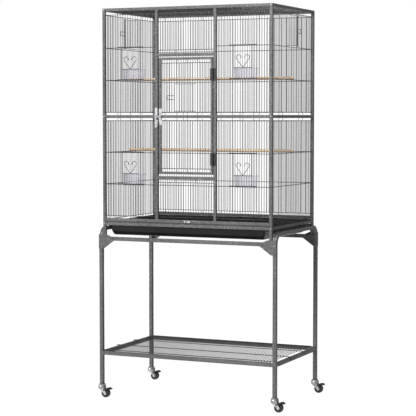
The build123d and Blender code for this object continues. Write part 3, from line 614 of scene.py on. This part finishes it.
def bend(radius, points):
    """One wire along a line of points in millimetres, as a mesh."""
    curve = bpy.data.curves.new("bent_wire", "CURVE")
    curve.dimensions = "3D"
    curve.bevel_depth, curve.bevel_resolution, curve.use_fill_caps = radius * mm, 2, True
    spline = curve.splines.new("POLY")
    spline.points.add(len(points) - 1)
    for point, place in zip(spline.points, points):
        point.co = (*(Vector(place) * mm), 1)
    wire = bpy.data.objects.new("bent_wire", curve)
    bpy.context.scene.collection.objects.link(wire)
    work_on(wire)
    bpy.ops.object.convert(target="MESH")
    return bpy.context.object


def ring(place):
    """Loop of door wire round an upright of the wall."""
    bpy.ops.object.select_all(action="DESELECT")
    bpy.ops.mesh.primitive_torus_add(
        major_radius=2.7 * mm, minor_radius=1.0 * mm, major_segments=16, minor_segments=8,
        location=Vector(place) * mm,
    )
    bpy.ops.object.shade_smooth()
    bpy.ops.object.transform_apply(location=True, rotation=True, scale=True)
    return bpy.context.object


# %% [markdown]
# ## Feeder doors
#
# Four small doors slide up on two uprights of the wall to reach the feed cups. Short uprights
# close the door in front of the cup, and above them stands a wire heart, bent from one wire
# on each side of its tip.

# %% Feeder doors
FEEDERS = {"upper": UPPER_ROWS[1], "lower": LOWER_ROWS[1]}
SECTION_MIDDLE = sum(SECTION) / 2
GUIDE = 5 * (SECTION[1] - SECTION[0]) / (len(even_places(*SECTION)) + 1)
DOOR_Y, HALF_DOOR = -FRONT_FACE - DOOR_OUT, 39
LOBE, LOBE_X, LOBE_Z = 10.5, 18.5, 41.5


def heart_half(side, middle, foot):
    """One side of the heart: straight from the tip, then round the lobe and inwards."""
    far = math.hypot(LOBE_X, LOBE_Z)
    lean = math.atan2(LOBE_Z, LOBE_X) - math.asin(LOBE / far)
    points = [(0, 0)]
    for step in range(17):
        angle = lean - math.pi / 2 + math.radians(237) * step / 16
        points.append((LOBE_X + LOBE * math.cos(angle), LOBE_Z + LOBE * math.sin(angle)))
    return bend(1.24, [(middle + side * x, DOOR_Y, foot + z) for x, z in points])


for level, row in FEEDERS.items():
    high_row = {"upper": UPPER_ROWS[2], "lower": LOWER_ROWS[2]}[level]
    for name, sign in (("left", -1), ("right", 1)):
        middle = sign * SECTION_MIDDLE
        low, high, rim = row + 2.8, high_row + 2.8, row + 46
        wires = []
        for z in (low, high):
            reach = GUIDE - 1.8
            wires.append(cut(DOOR, (middle - reach, DOOR_Y, z), (middle + reach, DOOR_Y, z)))
            for side in (-1, 1):
                wires.append(ring((middle + side * GUIDE, -FRONT_FACE - UPRIGHT_OUT, z)))
        start, stop = middle - HALF_DOOR, middle + HALF_DOOR
        wires.append(cut(DOOR, (start, DOOR_Y, rim), (stop, DOOR_Y, rim)))
        for side in (-1, 1):
            x = middle + side * HALF_DOOR
            wires.append(cut(DOOR, (x, DOOR_Y, low), (x, DOOR_Y, high)))
            wires.append(heart_half(side, middle, rim))
        for x in even_places(start, stop):
            wires.append(cut(FINE, (x, DOOR_Y, low), (x, DOOR_Y, rim)))
        node = f"{level}_{name}_feeder_door"
        door = join(f"{node}_wires", wires)
        settle(door)
        hand_over(door, "wire_coat", node, node)

# %% [markdown]
# ## Nest doors
#
# High on each side, and once in the back, a small wire door covers a hole for a nest box. It
# hangs on one upright by two loops. A flat hook beside its free edge is the handle.


# %% Nest doors
def nest_door(node, face, turn, places, hinge, rows):
    y = -face - DOOR_OUT
    start, stop = places[hinge], places[hinge + NEST_GAPS]
    low, high, middle = rows[0] + 6, rows[1] - 6, sum(rows) / 2
    wires = []
    for z in (low, high):
        wires.append(cut(DOOR, (start + 1.8, y, z), (stop + 1.2, y, z)))
        wires.append(ring((start, -face - UPRIGHT_OUT, z)))
    for u in places[hinge + 1 : hinge + NEST_GAPS]:
        wires.append(cut(FINE, (u, y, low), (u, y, high)))
    wires.append(cut(DOOR, (stop, y, low), (stop, y, high)))
    tip, high_leg, low_leg = stop + 38, middle + 8.5, middle - 8.5
    hook = [(stop, high_leg), (tip, high_leg), (tip, low_leg), (stop, low_leg)]
    wires.append(bend(1.24, eased([(u, y, z) for u, z in hook], 5)))
    door = join(f"{node}_wires", wires)
    settle(door, turn)
    hand_over(door, "wire_coat", node, node)


nest_door("left_nest_door", SIDE_FACE, -90, SIDE_PLACES, SIDE_HINGE, UPPER_ROWS[2:4])
nest_door("right_nest_door", SIDE_FACE, 90, SIDE_PLACES, SIDE_HINGE, UPPER_ROWS[2:4])
nest_door("back_nest_door", FRONT_FACE, 180, BACK_PLACES, BACK_HINGE, UPPER_ROWS[0:2])

# %% [markdown]
# ## Floor grille
#
# The birds' floor is a flat frame with wires from front to back, which slides out between the
# two lowest rails. Its frame starts as a plane the size of the floor: an inset gives the
# width of the strip, the middle is deleted, and Solidify gives the thickness.

# %% Floor grille
grille_low, grille_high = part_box("floor_grille")
size = grille_high - grille_low
bpy.ops.object.select_all(action="DESELECT")
bpy.ops.mesh.primitive_plane_add(size=1, location=(0, 0, grille_low.z + 0.15 * mm))
strip = bpy.context.object
strip.scale = (size.x, size.y, 1)
bpy.ops.object.transform_apply(location=True, rotation=True, scale=True)
edit(strip, "FACE", lambda face: True)
bpy.ops.mesh.inset(thickness=5 * mm, depth=0)
bpy.ops.mesh.delete(type="FACE")
leave()
modify(strip, "SOLIDIFY", thickness=3.8 * mm, offset=1)
modify(strip, "BEVEL", width=0.6 * mm, segments=2)
half_x, half_y, grille_z = size.x / 2 / mm - 4, size.y / 2 / mm - 4, grille_low.z / mm
wires = [strip]
for x in even_places(-half_x, half_x):
    wires.append(cut(FINE, (x, -half_y, grille_z + 3.4), (x, half_y, grille_z + 3.4)))
for y in (-half_y / 3, half_y / 3):
    wires.append(cut(CROSS, (-half_x, y, grille_z + 1.6), (half_x, y, grille_z + 1.6)))
grille = join("floor_grille_wires", wires)
settle(grille)
hand_over(grille, "wire_coat", "floor_grille", "floor_grille")

# %% [markdown]
# ## Shelf grille
#
# The shelf is a loose grid that lies on the stand's lower bars. Two of its long wires turn
# down outside the side bars, so that it can't slide off.

# %% Shelf grille
deck, half_y = 203.4, 241.5
half_x, hook_x = 387.4, 409.15
long_z, hook_z = deck + 1.5, deck - 11
wires = []
for x in even_places(-half_x, half_x, 12.7):
    wires.append(cut(CROSS, (x, -half_y, deck - 1.2), (x, half_y, deck - 1.2)))
for share in (-0.93, 0.93):
    y = half_y * share
    wires.append(cut(HOOK, (-half_x, y, long_z), (half_x, y, long_z)))
for share in (-1 / 3, 1 / 3):
    y = half_y * share
    line = [(-hook_x, hook_z), (-hook_x, long_z), (hook_x, long_z), (hook_x, hook_z)]
    wires.append(bend(1.69, eased([(x, y, z) for x, z in line], 4)))
shelf = join("shelf_grille_wires", wires)
settle(shelf)
hand_over(shelf, "wire_coat", "cage_and_stand", "shelf_grille")

# %% [markdown]
# ## Feed cups
#
# A cup is a thin moulded tub, a little narrower at its foot so that it leaves its mould, with
# a turned-out rim and two lugs that sit on the cross wire. A block is rounded and tapered, its
# top is opened, the open edge is drawn out into the rim, and Solidify gives the wall.


# %% Feed cups
def block(low, high):
    """A plain block between two corners in millimetres, ready to be shaped."""
    low, high = Vector(low) * mm, Vector(high) * mm
    bpy.ops.object.select_all(action="DESELECT")
    bpy.ops.mesh.primitive_cube_add(size=1, location=(low + high) / 2)
    made = bpy.context.object
    made.scale = high - low
    bpy.ops.object.transform_apply(location=True, rotation=True, scale=True)
    return made


def soften(piece, width):
    """Break the sharp edges of a moulding."""
    modify(
        piece, "BEVEL", width=width * mm, segments=2,
        limit_method="ANGLE", angle_limit=math.radians(50),
    )


def upright_edge(edge):
    a, b = (vertex.co for vertex in edge.verts)
    return abs(a.x - b.x) < 1e-6 and abs(a.y - b.y) < 1e-6


def feed_cup(node, middle, row):
    front, wide, deep = -235.7, 92.0, 58.0
    low, high = row - 6, row + 45
    cup = block((middle - wide / 2, front, low), (middle + wide / 2, front + deep, high))
    edit(cup, "EDGE", upright_edge)
    bpy.ops.mesh.bevel(offset=12 * mm, segments=5)
    edit(cup, "FACE", lambda face: face.normal.z < -0.9)
    bpy.ops.transform.resize(value=(0.93, 0.90, 1))
    edit(cup, "EDGE", lambda edge: all(v.co.z < (low + 0.1) * mm for v in edge.verts))
    bpy.ops.mesh.bevel(offset=5 * mm, segments=3)
    edit(cup, "FACE", lambda face: face.normal.z > 0.9)
    bpy.ops.mesh.delete(type="FACE")
    edit(cup, "EDGE", lambda edge: edge.is_boundary)
    bpy.ops.mesh.extrude_edges_move(TRANSFORM_OT_translate={"value": (0, 0, 0)})
    bpy.ops.transform.resize(value=(1 + 4 / wide, 1 + 3 / deep, 1))
    bpy.ops.mesh.extrude_edges_move(TRANSFORM_OT_translate={"value": (0, 0, -2.5 * mm)})
    leave()
    modify(cup, "SOLIDIFY", thickness=1.8 * mm, offset=-1)
    soften(cup, 0.4)
    parts = [cup]
    for side in (-26, 26):
        left = middle + side - 4.5
        lug = block((left, front - 2.4, row + 1.3), (left + 9, front + 1.5, row + 5.2))
        modify(lug, "BEVEL", width=0.8 * mm, segments=2)
        parts.append(lug)
    cup = join(f"{node}_tub", parts)
    bpy.ops.object.shade_smooth_by_angle(angle=math.radians(40))
    settle(cup)
    hand_over(cup, "cup_plastic", "cage_and_stand", node)


for level, row in FEEDERS.items():
    for name, sign in (("left", -1), ("right", 1)):
        feed_cup(f"{level}_{name}_feed_cup", sign * SECTION_MIDDLE, row)

# %% [markdown]
# ## Tray
#
# The tray slides in under the floor grille. Its upper band is upright and its lower part
# slopes in, with the large soft corners of a moulding. The slope is the band's underside
# extruded down and drawn in.

# %% Tray
tray_box_low, tray_box_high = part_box("tray")
BAND_Z, FOOT_Z, TOP_Z = 722.0, tray_box_low.z / mm, tray_box_high.z / mm
WIDE, DEEP = 704, 480
tray = block((-WIDE / 2, -DEEP / 2, BAND_Z), (WIDE / 2, DEEP / 2, TOP_Z))
edit(tray, "EDGE", upright_edge)
bpy.ops.mesh.bevel(offset=9 * mm, segments=5)
edit(tray, "FACE", lambda face: face.normal.z < -0.9)
drop = (FOOT_Z - BAND_Z) * mm
bpy.ops.mesh.extrude_region_move(TRANSFORM_OT_translate={"value": (0, 0, drop)})
bpy.ops.transform.resize(value=(692 / WIDE, 454 / DEEP, 1))
edit(tray, "EDGE", lambda edge: all(abs(v.co.z - FOOT_Z * mm) < 1e-5 for v in edge.verts))
bpy.ops.mesh.bevel(offset=4 * mm, segments=3)
edit(tray, "EDGE", lambda edge: all(abs(v.co.z - BAND_Z * mm) < 1e-5 for v in edge.verts))
bpy.ops.mesh.bevel(offset=2 * mm, segments=3)
edit(tray, "FACE", lambda face: face.normal.z < -0.9 and face.calc_area() > 0.1)
bpy.ops.mesh.inset(thickness=2.5 * mm, depth=0)
bpy.ops.mesh.inset(thickness=1.2 * mm, depth=-1.2 * mm)
edit(
    tray, "FACE",
    lambda face: face.normal.z > 0.9 and face.calc_center_median().z > (TOP_Z - 1) * mm,
)
bpy.ops.mesh.delete(type="FACE")
edit(tray, "EDGE", lambda edge: edge.is_boundary)
bpy.ops.mesh.extrude_edges_move(TRANSFORM_OT_translate={"value": (0, 0, 0)})
bpy.ops.transform.resize(value=(732 / WIDE, 1 + 5 / DEEP, 1))
leave()
modify(tray, "SOLIDIFY", thickness=1.9 * mm, offset=-1)
soften(tray, 0.5)
bpy.ops.object.shade_smooth_by_angle(angle=math.radians(35))
tray.name = tray.data.name = "tray_moulding"
settle(tray)
hand_over(tray, "tray_plastic", "tray", "tray")

# %% [markdown]
# ## Last step
#
# The wire stock was only material to cut from.

# %% Clear away the wire stock
for stock in (FINE, CROSS, DOOR, HOOK):
    bpy.data.objects.remove(stock)
